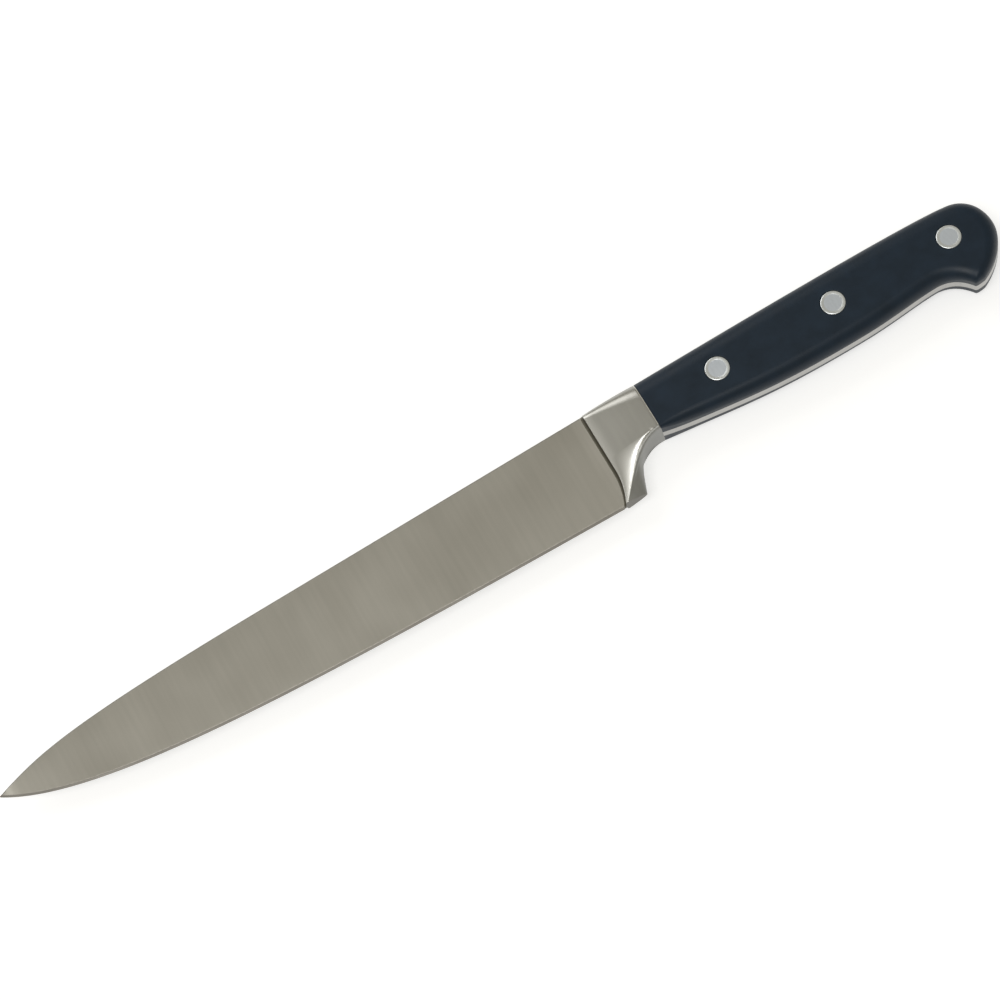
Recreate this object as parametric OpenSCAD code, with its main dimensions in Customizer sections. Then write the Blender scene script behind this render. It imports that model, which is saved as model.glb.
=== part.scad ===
// Carving knife: a forged blade with bolster and full tang, and a handle of two riveted scales.
// Lengths are in millimetres. X runs from the point to the butt and Y from the edge to the spine.
// The knife lies on its right side, with Z = 0 under the handle and the left side facing up.

/* [Blade] */
// Length of the blade, from its point to the step of the bolster
blade_len = 200; // [150:1:260]
// Height of the blade at its heel
heel_height = 30.6; // [27:0.1:38]
// How far the point lies below the line of the spine
point_drop = 8; // [4:0.5:12]
// Length over which the spine falls to the point
spine_fall = 92; // [60:1:120]
// Height of the blunt end of the point
point_height = 0.3; // [0.2:0.05:0.6]
// Thickness of the spine at the bolster
spine_thick = 2.6; // [2:0.1:3.6]
// Thickness of the spine near the point
point_thick = 1.0; // [0.8:0.1:1.6]
// Rounding of the spine's two corners
spine_ease = 0.25; // [0.1:0.05:0.35]
// Height of the ground bevel along the cutting edge
bevel_height = 0.8; // [0.4:0.1:1.5]
// Thickness of the blade where that bevel starts
bevel_thick = 0.44; // [0.3:0.02:0.6]
// Thickness left at the cutting edge itself
edge_thick = 0.04; // [0.02:0.01:0.1]
// How far behind the point the edge sweeps down
nose_len = 24.5; // [16:0.5:36]
// How far above the heel that sweep ends
nose_rise = 6.6; // [4:0.1:9]
// How far behind the point the edge flattens out
sweep_len = 82.4; // [60:0.1:110]
// How far above the heel the flatter stretch starts
sweep_rise = 3.1; // [1:0.1:4]

/* [Bolster] */
// Length of the bolster, from the step to the handle
bolster_len = 18.5; // [16:0.1:24]
// Length of the hollow step between blade and bolster
step_len = 1.2; // [0.8:0.1:2]
// Width of the bolster just behind the step, at the spine
step_width = 6.8; // [5.6:0.1:8]
// Rounding of the bolster's back just behind the step
step_round = 1.8; // [1:0.1:2.6]
// How far the step runs forward at the foot of the guard
step_lean = 2.4; // [1:0.1:4]
// Depth at which the step starts to run forward
lean_start = 20; // [14:0.5:24]
// How far the foot of the guard stays above the cutting edge
foot_lift = 0.5; // [0.2:0.1:1.5]
// Width of the foot at its front
foot_width = 5.2; // [4:0.1:6]
// Width of the foot at its back
foot_back_width = 2.4; // [1.6:0.1:3.4]
// Distance from the foot's front corner to the handle
foot_front = 19; // [17.5:0.1:19.5]
// Distance from the foot's back corner to the handle
foot_back = 13; // [11:0.1:15]

/* [Handle] */
// Length of the handle, from the bolster to the butt
handle_len = 112.7; // [105:0.1:130]
// Width of the handle over both scales
handle_width = 12.8; // [12:0.1:17]
// Thickness of the tang between the scales
tang_thick = 3.2; // [2.4:0.1:4]
// Length of the tang's root inside the bolster
root_len = 5.6; // [3:0.2:9]
// How far the root stays inside the bolster's back and underside
root_inset = 4.2; // [3:0.1:6]
// How far the handle's back lies below the spine
back_drop = 0.3; // [0:0.1:1]
// Depth of the handle's underside at the bolster
front_depth = 17; // [16:0.1:18.5]
// Depth of the underside at the neck, just behind the bolster
neck_depth = 19.4; // [18.8:0.1:20.2]
// Distance from the bolster to the neck
neck_from_front = 13; // [10:0.5:18]
// Depth of the underside at the belly
belly_depth = 23.3; // [22.4:0.1:25]
// Distance from the bolster to the belly
belly_from_front = 63; // [55:0.5:68]
// Depth of the underside at the waist before the beak
waist_depth = 22; // [20:0.1:23]
// Distance from the waist to the butt
waist_from_butt = 24.2; // [22.5:0.1:27]
// Depth of the beak's tip
beak_depth = 28; // [27:0.1:29.5]
// Distance from the beak's tip to the butt
beak_from_butt = 12.9; // [12:0.1:15]
// Length of the beak's blunt end
beak_len = 3.2; // [2:0.1:3.6]
// How far the two ends of the blunt end lie above the beak's tip
beak_rise = 0.4; // [0.2:0.1:0.8]
// Depth at which the butt reaches furthest back
butt_depth = 13.5; // [12:0.1:15]
// Depth of the back where it starts to round over to the butt
crown_depth = 2.3; // [1.8:0.1:3]
// Distance from there to the butt
crown_from_butt = 9.2; // [8:0.1:12]

/* [Handle edges] */
// Rounding along the back of the handle and bolster
back_round = 5.8; // [4:0.1:6.5]
// How far in from the side it is rounded there
back_wrap = 4.5; // [3:0.1:4.6]
// Rounding along the underside, from the neck to the waist
belly_round = 4; // [3.2:0.1:4.8]
// How far in from the side it is rounded there
belly_wrap = 4.5; // [3:0.1:5]
// Rounding of the neck
neck_round = 3.2; // [2:0.1:3.6]
// How far in from the side the neck is rounded
neck_wrap = 3.4; // [2:0.1:4]
// How far up the side the underside is rounded where it meets the bolster
front_round = 0.9; // [0.5:0.1:1.5]
// How far in from the side it is rounded there
front_wrap = 1.3; // [1:0.1:2]
// Rounding of the butt
butt_round = 4.5; // [3:0.1:5]
// How far the beak's flat side stops behind its tip
beak_inset_x = 2.6; // [2:0.1:4]
// How far the beak's flat side stops above its tip
beak_inset_y = 2.8; // [2:0.1:4]
// How far in from the side the beak is rounded
beak_wrap = 2.8; // [2:0.1:4]

/* [Rivets] */
// Diameter of the flush rivet heads
head_d = 7.4; // [6:0.1:9]
// Thickness of the heads
head_thick = 2; // [1.4:0.1:2.6]
// Bevel around the face of each head
head_bevel = 0.25; // [0.1:0.05:0.5]
// Outer diameter of the hollow shank
shank_d = 5; // [4.2:0.1:5.6]
// Diameter of the solid pin
pin_d = 3; // [2:0.1:3.6]
// Distance from the bolster to the front rivet
rivet_from_front = 22.7; // [18:0.1:30]
// Distance from the rear rivet to the butt
rivet_from_butt = 13.7; // [12:0.1:18]
// Depth of the front rivet below the spine
front_rivet_depth = 10.4; // [9:0.1:12]
// Depth of the rear rivet below the spine
rear_rivet_depth = 12.2; // [10.5:0.1:13.5]

/* [Fits] */
// Gap around a rivet head in its counterbore
head_gap = 0.06; // [0.02:0.01:0.15]
// Gap around the shank in the scales
shank_gap = 0.1; // [0.05:0.01:0.2]
// Gap around the shank in the tang
tang_gap = 0.3; // [0.1:0.05:0.5]
// Gap around the pin in the shank
pin_gap = 0.01; // [0.01:0.01:0.03]
// Gap between the end of a shank or pin and the opposite head
end_gap = 0.3; // [0.1:0.05:0.6]

/* [Hidden] */
RIVETS = ["front", "middle", "rear"];
$fn = 64;

steel = [0.62, 0.61, 0.58];
black_plastic = [0.13, 0.15, 0.17];
bright_steel = [0.74, 0.74, 0.73];

// Measures below are from the joint of bolster and handle, the spine's line and the tang's middle
tip_x = -(blade_len + bolster_len);
half_width = handle_width / 2;
half_tang = tang_thick / 2;
foot_depth = heel_height - foot_lift;
lowest_depth = max(heel_height, beak_depth);
to_frame = [-(tip_x + handle_len) / 2, lowest_depth / 2, half_width];
overlap = 0.01;
overcut = 1;

// How many rows of points run along the blade and bolster, on each side
corner_rows = 3;
joint_rows = 4;
guard_rows = 10;
last_row = corner_rows + joint_rows + guard_rows;
joint_row = corner_rows + joint_rows;

// How many sections cut across the blade, and where the others cut the step and the bolster
blade_sections = 24;
section_crowding = 1.7;
step_cuts = [0.45, 0.8, 1];
bolster_cuts = [0.15, 0.35, 0.56, 0.74, 0.88, 1];

// How many steps round the edge of a scale, and round the ridge of the guard
edge_steps = 5;
fillet_steps = 3;

function mix(a, b, t) = a + (b - a) * t;

function bezier(c, t) = let (
    a = mix(c[0], c[1], t),
    b = mix(c[1], c[2], t),
    d = mix(c[2], c[3], t)
) mix(mix(a, b, t), mix(b, d, t), t);

// Height of a curve at x, for a curve that always runs forward in X
function curve_y(c, x, lo = 0, hi = 1, steps = 22) = let (mid = (lo + hi) / 2)
    steps == 0 ? bezier(c, mid)[1] :
    bezier(c, mid)[0] < x ? curve_y(c, x, mid, hi, steps - 1) :
    curve_y(c, x, lo, mid, steps - 1);

// A triangle, left out where two of its corners are the same point
function triangle(a, b, c) = a == b || b == c || c == a ? [] : [[a, b, c]];

// Triangles of the strip between two rows of point numbers
function strip(p, q) = [
    for (i = [0:len(p) - 2]) each concat(
        triangle(p[i], p[i + 1], q[i + 1]),
        triangle(p[i], q[i + 1], q[i])
    )
];

// Front of the bolster's side at height y
function step_x(y) = -bolster_len + step_len
    - step_lean * pow(max(0, (-y - lean_start) / (foot_depth - lean_start)), 2);

// Outline of the blade

heel_x = step_x(-foot_depth) - step_len;

// Where the spine's fall bends, as shares of its length and its drop
fall_bend = [0.16, 0.45];
fall_start = 0.23;

spine_curve = [
    [tip_x, -point_drop],
    [tip_x + fall_bend[0] * spine_fall, -fall_bend[1] * point_drop],
    [tip_x + fall_start * spine_fall, 0],
    [tip_x + spine_fall, 0]
];
edge_curve = [
    [tip_x, -point_drop - point_height],
    [tip_x + nose_len, -heel_height + nose_rise],
    [tip_x + sweep_len, -heel_height + sweep_rise],
    [heel_x, -heel_height]
];

function spine_y(x) = x < tip_x + spine_fall ? curve_y(spine_curve, x) : 0;
function edge_y(x) = curve_y(edge_curve, x);

// Half thickness at the very point, and how fast it grows with the height of the blade there
tip_half = 0.1;
tip_growth = 0.14;

// Half thickness at the spine, drawn in where the point gets low
function spine_half(x) = min(
    mix(point_thick, spine_thick, (x - tip_x) / blade_len) / 2,
    tip_half + (spine_y(x) - edge_y(x)) * tip_growth
);

// One point of a rounded corner between the spine and a side: height and half thickness
function corner(top, half, r, row) = let (a = 90 * row / corner_rows)
    [top - r + r * cos(a), half - r + r * sin(a)];

// How the ridge of the guard leaves the joint, and where it turns down towards the foot:
// its distance from the joint and its share of the way down
ridge_lead = [-7, 0.2];
ridge_turn = [11, 0.38];

// The same for the finger side of the guard, along its middle, with its share of the full width
back_lead = [-8, 0.1, 0];
back_turn = [9.5, 0.26, 0.2];

// How quickly the bolster's sides flare, and how they roll over towards the ridge
flare = 1.5;
roll_width = 4.5;
roll_growth = 0.8;
roll_tilt = 0.36;

// Corner between the bolster's side and its underside, from the joint down to the foot
ridge = [
    [0, -front_depth],
    [ridge_lead[0], ridge_lead[1] - front_depth],
    [-ridge_turn[0], mix(-front_depth, -foot_depth, ridge_turn[1])],
    [-foot_front, -foot_depth]
];

// How far the ridge's rounding reaches over the side and over the underside
ridge_to_side = [
    [0, front_round],
    [-0.2, front_round],
    [-0.5, 0.3],
    [0, 0]
];
ridge_to_back = [
    [0, 0, -front_wrap],
    [0, 0, -front_wrap],
    [0.5, 0, -0.5],
    [0.5, 0, -0.1]
];

// Finger side of the guard, along its middle, with its half width
guard_start = [0, -front_depth, half_width - front_wrap];
guard_back = [
    guard_start,
    guard_start + back_lead,
    [
        -back_turn[0],
        mix(-front_depth, -foot_depth, back_turn[1]),
        mix(foot_back_width / 2, half_width, back_turn[2])
    ],
    [-foot_back, -foot_depth, foot_back_width / 2]
];

// Half thickness of the bolster's side just behind the step, at height y
function step_half(y) = mix(step_width, foot_width, -y / foot_depth) / 2;

// Half thickness of the bolster's flared side
function side_half(x, y) = mix(step_half(y), half_width, 1 - pow(max(0, x / step_x(y)), flare));

// How far the side has rolled over at x, on the row that meets the ridge at share t and at last
function roll(t, x, y, last) = let (
    reach = last - step_x(y),
    power = 2 + reach / max(overlap, roll_width * pow(t, roll_growth))
) t == 0 || reach < overlap ? 0 : roll_tilt * reach / power * pow((x - step_x(y)) / reach, power);

// Where the side ends, above the ridge's rounding, and the ridge itself
function side_end(t) = let (
    p = bezier(ridge + ridge_to_side, t)
) [p[0], p[1], side_half(p[0], p[1]) - roll(t, p[0], p[1], p[0])];
function crest_at(t) = let (
    p = bezier(ridge, t),
    q = side_end(t)
) [p[0], p[1], q[2] - roll_tilt * t * (p[0] - q[0])];

function share_down(row) = max(0, row - joint_row) / guard_rows;

// Height of a row on the bolster, at share s of the way from the step to the handle
function bolster_y(s, row) = let (
    top = -back_drop * s * s,
    r = mix(step_round, back_round, s),
    below = top - r,
    shoulder = -front_depth + front_round
)
    row <= corner_rows ? corner(top, 0, r, row)[0] :
    row <= joint_row ? mix(below, shoulder, (row - corner_rows) / joint_rows) :
    side_end(share_down(row))[1];

function bolster_point(s, row) = let (
    y = bolster_y(s, row),
    t = share_down(row),
    last = row <= joint_row ? 0 : side_end(t)[0],
    x = mix(step_x(y), last, s),
    half = side_half(x, y) - roll(t, x, y, last),
    r = mix(step_round, back_wrap, s)
) [
    x,
    y,
    row < corner_rows ? corner(0, half, r, row)[1] : half
];

// A row's share of the height below the rounded corner
function row_share(row) = let (top = bolster_y(0, corner_rows))
    (top - bolster_y(0, row)) / (top + foot_depth);

// Where the blade is low, its rounding and its bevel each take at most this share of its height
thin_share = 0.2;

function blade_point(x, row) = let (
    top = spine_y(x),
    bottom = edge_y(x),
    r = min(spine_ease, (top - bottom) * thin_share),
    bevel = min(bevel_height, (top - bottom) * thin_share),
    share = row_share(row) / row_share(last_row - 1),
    y = row <= corner_rows ? corner(top, 0, r, row)[0] :
        row == last_row ? bottom :
        mix(top - r, bottom + bevel, share),
    half = mix(spine_half(x), min(bevel_thick / 2, spine_half(x)), (top - y) / (top - bottom - bevel))
) [
    x,
    y,
    row < corner_rows ? corner(0, half, r, row)[1] :
    row == last_row ? edge_thick / 2 : half
];

// The blade's last section follows the step
function heel_point(row) = let (
    y = row == last_row ? -foot_depth : blade_point(-bolster_len, row)[1],
    p = blade_point(step_x(y) - step_len, row)
) [step_x(y) - step_len, p[1], p[2]];

// The hollow step rises to the bolster as a quarter circle
function step_point(s, row) = let (
    p = heel_point(row),
    q = bolster_point(0, row),
    rise = 1 - sqrt(1 - s * s)
) [mix(p[0], q[0], s), mix(p[1], q[1], s), mix(p[2], q[2], rise)];

function section(f) = [for (row = [0:last_row]) f(row)];

blade_side = concat(
    [for (i = [0:blade_sections - 1]) let (x = tip_x + blade_len * pow(i / blade_sections, section_crowding))
        section(function (row) blade_point(x, row))],
    [section(function (row) heel_point(row))],
    [for (s = step_cuts) section(function (row) step_point(s, row))],
    [for (s = bolster_cuts) section(function (row) bolster_point(s, row))]
);

// From each point of the ridge, a fillet and then the slope to the guard's back
function guard_columns(w) = let (
    side = side_end(w),
    crest = crest_at(w),
    under = crest + bezier(ridge_to_back, w)
) concat(
    [for (i = [1:fillet_steps]) let (t = i / fillet_steps)
        mix(mix(side, crest, t), mix(crest, under, t), t)],
    [bezier(guard_back, w)]
);

guard = [for (i = [0:guard_rows]) guard_columns(i / guard_rows)];

// The forging without its tang, as one closed skin: left half, then the same points mirrored
module blade_and_bolster() {
    rows = last_row + 1;
    sections = len(blade_side);
    columns = fillet_steps + 1;
    half_points = concat([for (s = blade_side) each s], [for (g = guard) each g]);
    count = len(half_points);
    side_at = function (i, row) i * rows + row;
    guard_at = function (i, c) c == 0 ? side_at(sections - 1, joint_row + i) :
        sections * rows + i * columns + min(c, i == 0 ? fillet_steps : columns) - 1;
    side_rows = [for (row = [0:last_row]) [for (i = [0:sections - 1]) side_at(i, row)]];
    guard_lines = [for (i = [0:guard_rows]) [for (c = [0:columns]) guard_at(i, c)]];
    rim = concat(
        [for (row = [0:last_row]) side_at(0, last_row - row)],
        [for (i = [1:sections - 1]) side_at(i, 0)],
        [for (row = [1:joint_row]) side_at(sections - 1, row)],
        [for (c = [1:columns]) guard_at(0, c)],
        [for (i = [1:guard_rows]) guard_at(i, columns)],
        [for (c = [1:columns]) guard_at(guard_rows, columns - c)],
        [for (i = [1:sections - 1]) side_at(sections - 1 - i, last_row)]
    );
    left = concat(
        [for (row = [1:last_row]) each strip(side_rows[row - 1], side_rows[row])],
        [for (i = [1:guard_rows]) each strip(guard_lines[i - 1], guard_lines[i])]
    );
    polyhedron(
        points = concat(half_points, [for (p = half_points) [p[0], p[1], -p[2]]]),
        faces = concat(
            left,
            [for (f = left) [f[2] + count, f[1] + count, f[0] + count]],
            strip([for (i = rim) i + count], rim)
        ),
        convexity = 6
    );
}

// Outline of the handle, from the bolster along the underside, round the butt and back.
// Each entry holds the place on the outline, how far the flat side is set in from it,
// and how deep the rounded edge runs there.

waist_x = handle_len - waist_from_butt;
beak_x = handle_len - beak_from_butt;
crown_x = handle_len - crown_from_butt;

// How far the flat side is set back at the waist, and how far forward behind the beak
waist_shift = 0.6;
beak_back_inset_x = -0.4;

start = [0, -front_depth, 0, front_round, front_wrap];
neck = [neck_from_front, -neck_depth, 0, neck_round, neck_wrap];
belly = [belly_from_front, -belly_depth, 0, belly_round, belly_wrap];
waist = [waist_x, -waist_depth, waist_shift, belly_round, belly_wrap];
beak_front = [beak_x - beak_len / 2, beak_rise - beak_depth, beak_inset_x, beak_inset_y, beak_wrap];
beak_back = [beak_x + beak_len / 2, beak_rise - beak_depth, beak_back_inset_x, beak_inset_y, beak_wrap];
butt = [handle_len, -butt_depth, -butt_round, 0, butt_round];
crown = [crown_x, -crown_depth, 0, -back_round, back_wrap];
finish = [0, -back_drop, 0, -back_round, back_wrap];

// How each stretch of the outline leaves one of these places and arrives at the next
start_out = [4.5, -1.1, 0, 2, 1.4];
neck_in = [4.3, -0.62, 0, 0.1, 0.1];
neck_out = [16, -2.3, 0, 0.4, 0.3];
belly_in = [24, 0, 0, 0, 0];
belly_out = [11, 0, 0.3, 0, 0];
waist_in = [7, 0, 0.2, 0, 0];
waist_out = [5.2, 0, 1, -0.4, -1];
beak_front_in = [1.7, -2.5, 0.4, 0, 0];
beak_front_out = [0.5, -0.45, 0, 0, 0];
beak_back_in = [0.7, 0.1, -0.8, 0, 0];
beak_back_out = [6.6, 2.7, -2.2, -0.4, 0.9];
butt_in = [0, 5, 0, -1.8, 0];
butt_out = [0, 6.2, 0, -1.9, 0];
crown_in = [-5.4, 0.6, 2.3, -0.5, 0];
crown_out = [-12, 1.8, 0, 0, 0];
finish_in = [-40, 0, 0, 0, 0];

outline_stretches = [
    [4, [start, start + start_out, neck - neck_in, neck]],
    [7, [neck, neck + neck_out, belly - belly_in, belly]],
    [5, [belly, belly + belly_out, waist - waist_in, waist]],
    [7, [waist, waist + waist_out, beak_front - beak_front_in, beak_front]],
    [4, [beak_front, beak_front + beak_front_out, beak_back - beak_back_in, beak_back]],
    [9, [beak_back, beak_back + beak_back_out, butt - butt_in, butt]],
    [9, [butt, butt + butt_out, crown - crown_in, crown]],
    [6, [crown, crown + crown_out, finish - finish_in, finish]]
];

outline = concat(
    [start],
    [for (s = outline_stretches) for (i = [1:s[0]]) bezier(s[1], i / s[0])]
);

// The rounding always leaves this much of a scale's edge upright along the tang
edge_land = 0.2;
deepest_round = half_width - half_tang - edge_land;

// One ring round a scale, where its edge has turned in by an angle
function scale_ring(a) = [
    for (p = outline) [
        p[0] + p[2] * (1 - cos(a)),
        p[1] + p[3] * (1 - cos(a)),
        half_width - min(p[4], deepest_round) * (1 - sin(a))
    ]
];

module scale_body() {
    count = len(outline);
    rings = concat(
        [[for (p = outline) [p[0], p[1], half_tang]]],
        [for (i = [0:edge_steps]) scale_ring(90 * i / edge_steps)]
    );
    ring_at = function (ring, from, to) [for (i = [from:sign(to - from):to]) ring * count + i];
    half_count = floor(count / 2);
    top = len(rings) - 1;
    polyhedron(
        points = [for (r = rings) each r],
        faces = concat(
            [for (r = [1:top]) each strip(ring_at(r, 0, count - 1), ring_at(r - 1, 0, count - 1))],
            strip([for (r = [0:top]) (r + 1) * count - 1], [for (r = [0:top]) r * count]),
            strip(ring_at(0, 0, half_count), ring_at(0, count - 1, count - 1 - half_count)),
            strip(ring_at(top, count - 1, count - 1 - half_count), ring_at(top, 0, half_count))
        ),
        convexity = 6
    );
}

// The tang has the scales' outline, and its root runs into the bolster
module tang() {
    outer = concat(
        [for (p = outline) [p[0], p[1]]],
        [[-root_len, -root_inset], [-root_len, root_inset - front_depth]]
    );
    translate([0, 0, -half_tang]) linear_extrude(tang_thick) polygon(outer);
}

// Rivets, on a straight line from the front one to the rear one

rivet_rear_x = handle_len - rivet_from_butt;

function rivet_place(i) = let (t = i / (len(RIVETS) - 1)) [
    mix(rivet_from_front, rivet_rear_x, t),
    -mix(front_rivet_depth, rear_rivet_depth, t)
];

module at_rivet(i) {
    translate(concat(rivet_place(i), [0])) children();
}

module at_rivets() {
    for (i = [0:len(RIVETS) - 1]) at_rivet(i) children();
}

module rivet_head() {
    r = head_d / 2;
    rotate_extrude() polygon([
        [0, half_width - head_thick],
        [r, half_width - head_thick],
        [r, half_width - head_bevel],
        [r - head_bevel, half_width],
        [0, half_width]
    ]);
}

// Sub-parts

module placed() {
    translate(to_frame) children();
}

module blade() {
    color(steel) placed() difference() {
        union() {
            blade_and_bolster();
            tang();
        }
        at_rivets() cylinder(d = shank_d + 2 * tang_gap, h = 2 * tang_thick, center = true);
    }
}

module drilled_scale() {
    difference() {
        scale_body();
        at_rivets() {
            cylinder(d = shank_d + 2 * shank_gap, h = handle_width);
            translate([0, 0, half_width - head_thick])
                cylinder(d = head_d + 2 * head_gap, h = 2 * head_thick);
        }
    }
}

module left_scale() {
    color(black_plastic) placed() drilled_scale();
}

module right_scale() {
    color(black_plastic) placed() mirror([0, 0, 1]) drilled_scale();
}

module rivet_tube(i) {
    under_head = half_width - head_thick;
    tube_end = -under_head + end_gap;
    color(bright_steel) placed() at_rivet(i) {
        difference() {
            union() {
                rivet_head();
                translate([0, 0, tube_end]) cylinder(d = shank_d, h = under_head - tube_end + overlap);
            }
            translate([0, 0, tube_end - overcut])
                cylinder(d = pin_d + 2 * pin_gap, h = under_head - tube_end + overcut);
        }
    }
}

module rivet_pin(i) {
    under_head = half_width - head_thick;
    color(bright_steel) placed() at_rivet(i) mirror([0, 0, 1]) {
        rivet_head();
        translate([0, 0, end_gap - under_head]) cylinder(d = pin_d, h = 2 * under_head - end_gap + overlap);
    }
}

module front_rivet_tube() {
    rivet_tube(0);
}

module middle_rivet_tube() {
    rivet_tube(1);
}

module rear_rivet_tube() {
    rivet_tube(2);
}

module front_rivet_pin() {
    rivet_pin(0);
}

module middle_rivet_pin() {
    rivet_pin(1);
}

module rear_rivet_pin() {
    rivet_pin(2);
}

blade();
left_scale();
right_scale();
front_rivet_tube();
middle_rivet_tube();
rear_rivet_tube();
front_rivet_pin();
middle_rivet_pin();
rear_rivet_pin();
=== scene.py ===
import math

import bpy
from mathutils import Matrix, Vector


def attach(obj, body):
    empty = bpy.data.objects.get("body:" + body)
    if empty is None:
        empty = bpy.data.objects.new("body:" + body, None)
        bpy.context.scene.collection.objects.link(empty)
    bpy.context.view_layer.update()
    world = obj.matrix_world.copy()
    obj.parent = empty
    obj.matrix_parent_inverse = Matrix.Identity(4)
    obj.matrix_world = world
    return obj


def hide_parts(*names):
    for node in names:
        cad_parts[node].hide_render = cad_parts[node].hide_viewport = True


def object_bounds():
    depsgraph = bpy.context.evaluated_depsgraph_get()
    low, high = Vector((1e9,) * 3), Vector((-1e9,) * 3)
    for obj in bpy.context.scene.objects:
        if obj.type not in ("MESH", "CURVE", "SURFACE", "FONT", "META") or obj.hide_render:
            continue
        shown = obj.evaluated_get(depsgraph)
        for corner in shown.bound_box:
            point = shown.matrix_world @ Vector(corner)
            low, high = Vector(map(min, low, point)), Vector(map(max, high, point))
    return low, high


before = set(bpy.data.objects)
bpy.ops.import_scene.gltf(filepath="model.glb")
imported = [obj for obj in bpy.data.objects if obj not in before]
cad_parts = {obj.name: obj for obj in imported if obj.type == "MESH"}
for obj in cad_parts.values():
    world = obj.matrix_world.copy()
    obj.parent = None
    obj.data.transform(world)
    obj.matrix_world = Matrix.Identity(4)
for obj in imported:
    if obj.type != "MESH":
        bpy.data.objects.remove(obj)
cadLow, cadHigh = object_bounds()

mm = 0.001
near = 0.01                        # mm: two places this close count as one
weld = 0.002                       # mm: points this close are merged
roundSides = 96                    # of the rivets and of their holes


def mix(a, b, t):
    return a + (b - a) * t


def bezier(points, t):
    a, b, c, d = [Vector(p) for p in points]
    s = 1 - t
    return a * s ** 3 + b * (3 * s * s * t) + c * (3 * s * t * t) + d * t ** 3


def curveHeight(points, x):        # height of a curve that always runs forward in x
    low, high = 0.0, 1.0
    halvings = 30
    for _ in range(halvings):
        middle = (low + high) / 2
        if bezier(points, middle).x < x:
            low = middle
        else:
            high = middle
    return bezier(points, low).y


def deselectAll():
    if bpy.context.mode != "OBJECT":
        bpy.ops.object.mode_set(mode="OBJECT")
    bpy.ops.object.select_all(action="DESELECT")


def activate(piece):
    deselectAll()
    piece.select_set(True)
    bpy.context.view_layer.objects.active = piece


def applyModifier(piece, kind, **settings):
    activate(piece)
    modifier = piece.modifiers.new(kind.title(), kind)
    for name, value in settings.items():
        setattr(modifier, name, value)
    bpy.ops.object.modifier_apply(modifier=modifier.name)


def addSkin(name, rows):
    # a primitive grid, with its points set on rows of points in the knife's own measures
    deselectAll()
    across, along = len(rows[0]) - 1, len(rows) - 1
    bpy.ops.mesh.primitive_grid_add(x_subdivisions=across, y_subdivisions=along, size=1)
    skin = bpy.context.object
    skin.name = name
    for index, vertex in enumerate(skin.data.vertices):
        vertex.co = place(rows[index // (across + 1)][index % (across + 1)])
    return skin


def joinPieces(name, pieces):
    activate(pieces[0])
    for piece in pieces[1:]:
        piece.select_set(True)
    bpy.ops.object.join()
    joined = bpy.context.object
    joined.name = name
    joined.data.name = name
    return joined


def mirrorCopy(piece):             # a copy on the other side of the tang's middle
    other = piece.copy()
    other.data = piece.data.copy()
    bpy.context.scene.collection.objects.link(other)
    across = Matrix.Translation((0, 0, 2 * place((0, 0, 0)).z))
    other.data.transform(across @ Matrix.Scale(-1, 4, (0, 0, 1)))
    return other


def mergeDoubles(piece):
    activate(piece)
    bpy.ops.object.mode_set(mode="EDIT")
    bpy.ops.mesh.select_all(action="SELECT")
    bpy.ops.mesh.remove_doubles(threshold=weld * mm)
    bpy.ops.mesh.dissolve_degenerate(threshold=weld * mm / 4)
    bpy.ops.mesh.normals_make_consistent(inside=False)
    bpy.ops.object.mode_set(mode="OBJECT")


def clearSelection(piece, kind):
    activate(piece)
    bpy.ops.object.mode_set(mode="EDIT")
    bpy.ops.mesh.select_mode(type=kind)
    bpy.ops.mesh.select_all(action="DESELECT")
    bpy.ops.object.mode_set(mode="OBJECT")


def selectEdges(piece, wanted):    # wanted is asked with an edge's two ends and its count of faces
    clearSelection(piece, "EDGE")
    mesh = piece.data
    uses = {}
    for face in mesh.polygons:
        for key in face.edge_keys:
            uses[key] = uses.get(key, 0) + 1
    for edge in mesh.edges:
        ends = [mesh.vertices[i].co for i in edge.vertices]
        edge.select = wanted(ends, uses.get(edge.key, 0))
    bpy.ops.object.mode_set(mode="EDIT")


def selectFaces(piece, wanted):
    clearSelection(piece, "FACE")
    for face in piece.data.polygons:
        face.select = wanted(face)
    bpy.ops.object.mode_set(mode="EDIT")


def fillHole(piece, wanted):
    selectEdges(piece, wanted)
    bpy.ops.mesh.edge_face_add()
    bpy.ops.object.mode_set(mode="OBJECT")


def smooth(piece, degrees):
    activate(piece)
    bpy.ops.object.shade_smooth_by_angle(angle=math.radians(degrees), keep_sharp_edges=True)


def drill(piece, centres, diameter, low, high):
    # straight holes along z, cut with cylinders
    cutters = []
    for x, y in centres:
        deselectAll()
        bpy.ops.mesh.primitive_cylinder_add(
            vertices=roundSides, radius=diameter / 2 * mm, depth=(high - low) * mm,
            location=place((x, y, (low + high) / 2)))
        cutters.append(bpy.context.object)
    cutter = joinPieces("cutter", cutters)
    applyModifier(piece, "BOOLEAN", operation="DIFFERENCE", solver="EXACT", object=cutter)
    bpy.data.objects.remove(cutter)


def setMaterials(piece, materials, chooser=None):
    piece.data.materials.clear()
    for material in materials:
        piece.data.materials.append(material)
    for face in piece.data.polygons:
        face.material_index = chooser(face) if chooser else 0


def keepInside(piece):             # a bevel can pass the model's box by a micron
    for vertex in piece.data.vertices:
        for axis in range(3):
            vertex.co[axis] = min(max(vertex.co[axis], cadLow[axis]), cadHigh[axis])


# Materials

colourA, colourB, mixedColour = 6, 7, 2      # sockets of a Mix node that mixes colours
noiseLow, noiseHigh = 0.3, 0.7               # a noise texture seldom leaves these
lineBlur = 0.4                               # how much finer lines mix into the coarse ones


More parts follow.
